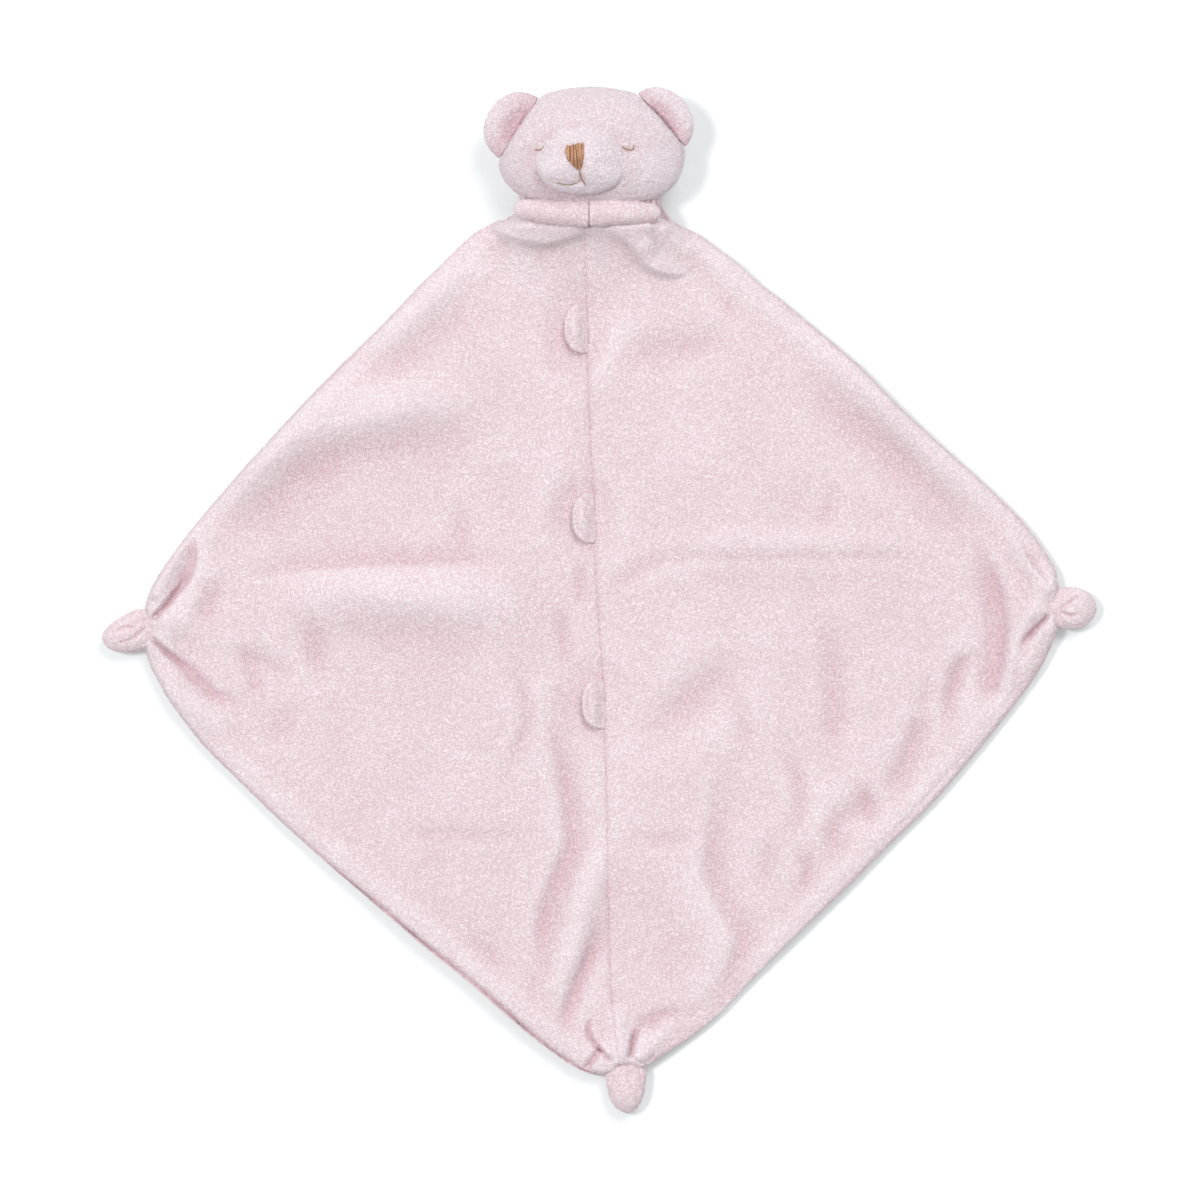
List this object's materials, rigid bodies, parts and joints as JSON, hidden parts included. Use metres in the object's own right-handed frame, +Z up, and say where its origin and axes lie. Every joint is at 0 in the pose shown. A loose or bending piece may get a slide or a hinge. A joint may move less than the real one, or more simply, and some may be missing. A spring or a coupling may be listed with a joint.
{
  "type": "comfort blanket",
  "caption": "Square plush comfort blanket laid on its corner, with a stuffed bear's head, a rolled collar, half-round tabs in its centre seam and gathered corner knobs.",
  "frame": {"origin": "on the floor under the middle of the part's outline, with the blanket lying face up", "axes": "+Y towards the head, +Z up out of the face, +X to the right as seen from above"},
  "size_m": [0.4566, 0.4727, 0.0536],
  "materials": {
    "pink_velour": "short dense velour pile, matt with a soft sheen",
    "pink_thread": "sewing thread",
    "brown_thread": "satin-stitched embroidery thread",
    "tan_thread": "embroidery thread",
    "stuffing": "loose polyester fibre"
  },
  "bodies": {
    "blanket": {"back_panel": "pink_velour", "front_left_panel": "pink_velour", "front_right_panel": "pink_velour", "centre_seam_thread": "pink_thread"},
    "left_wing": {"left_wing_front": "pink_velour", "left_wing_back": "pink_velour"},
    "right_wing": {"right_wing_front": "pink_velour", "right_wing_back": "pink_velour"},
    "left_corner": {"left_corner_knob": "pink_velour", "left_corner_tie": "pink_thread"},
    "right_corner": {"right_corner_knob": "pink_velour", "right_corner_tie": "pink_thread"},
    "bottom_corner": {"bottom_corner_knob": "pink_velour", "bottom_corner_tie": "pink_thread"},
    "top_tab": {"top_tab_face": "pink_velour", "top_tab_back": "pink_velour"},
    "middle_tab": {"middle_tab_face": "pink_velour", "middle_tab_back": "pink_velour"},
    "bottom_tab": {"bottom_tab_face": "pink_velour", "bottom_tab_back": "pink_velour"},
    "neck": {"neck_gather": "pink_velour", "collar_left": "pink_velour", "collar_right": "pink_velour"},
    "head": {"head_face": "pink_velour", "head_back": "pink_velour", "head_stuffing": "stuffing", "muzzle_cover": "pink_velour", "muzzle_stuffing": "stuffing", "nose": "brown_thread", "mouth_stitch": "tan_thread", "left_eye_stitch": "tan_thread", "right_eye_stitch": "tan_thread"},
    "left_ear": {"left_ear_front": "pink_velour", "left_ear_back": "pink_velour"},
    "right_ear": {"right_ear_front": "pink_velour", "right_ear_back": "pink_velour"}
  },
  "joints": [
    {"name": "left_wing_fold", "type": "hinge", "parent": "blanket", "child": "left_wing", "pos_m": [-0.115, -0.0133, 0.0078], "axis": [0, 1, 0], "range_deg": [0, 150]},
    {"name": "right_wing_fold", "type": "hinge", "parent": "blanket", "child": "right_wing", "pos_m": [0.115, -0.0028, 0.0078], "axis": [0, -1, 0], "range_deg": [0, 150]},
    {"name": "left_corner_flex", "type": "hinge", "parent": "left_wing", "child": "left_corner", "pos_m": [-0.20855, -0.0133, 0.0123], "axis": [0, 1, 0], "range_deg": [0, 75]},
    {"name": "right_corner_flex", "type": "hinge", "parent": "right_wing", "child": "right_corner", "pos_m": [0.21035, -0.0028, 0.0123], "axis": [0, -1, 0], "range_deg": [0, 75]},
    {"name": "bottom_corner_flex", "type": "hinge", "parent": "blanket", "child": "bottom_corner", "pos_m": [0.011, -0.21665, 0.0123], "axis": [-1, 0, 0], "range_deg": [0, 75]},
    {"name": "top_tab_flip", "type": "hinge", "parent": "blanket", "child": "top_tab", "pos_m": [-0.00626, 0.1249, 0.0103], "axis": [-0.0382, 0.9993, 0], "range_deg": [0, 160]},
    {"name": "middle_tab_flip", "type": "hinge", "parent": "blanket", "child": "middle_tab", "pos_m": [-0.00293, 0.0377, 0.0103], "axis": [-0.0382, 0.9993, 0], "range_deg": [0, 160]},
    {"name": "bottom_tab_flip", "type": "hinge", "parent": "blanket", "child": "bottom_tab", "pos_m": [0.00033, -0.0476, 0.0103], "axis": [-0.0382, 0.9993, 0], "range_deg": [0, 160]},
    {"name": "neck_tilt", "type": "hinge", "parent": "blanket", "child": "neck", "pos_m": [-0.0046, 0.1707, 0.022], "axis": [1, 0, 0], "range_deg": [0, 40]},
    {"name": "head_turn", "type": "hinge", "parent": "neck", "child": "head", "pos_m": [-0.0041, 0.1852, 0.0215], "axis": [0, 1, 0], "range_deg": [-15, 15]},
    {"name": "left_ear_fold", "type": "hinge", "parent": "head", "child": "left_ear", "pos_m": [-0.04152, 0.22049, 0.0215], "axis": [0.5476, 0.8368, 0], "range_deg": [-20, 55], "stiffness_Nm_per_rad": 0.02},
    {"name": "right_ear_fold", "type": "hinge", "parent": "head", "child": "right_ear", "pos_m": [0.03188, 0.22395, 0.0215], "axis": [0.6239, -0.7815, 0], "range_deg": [-20, 55], "stiffness_Nm_per_rad": 0.02}
  ]
}
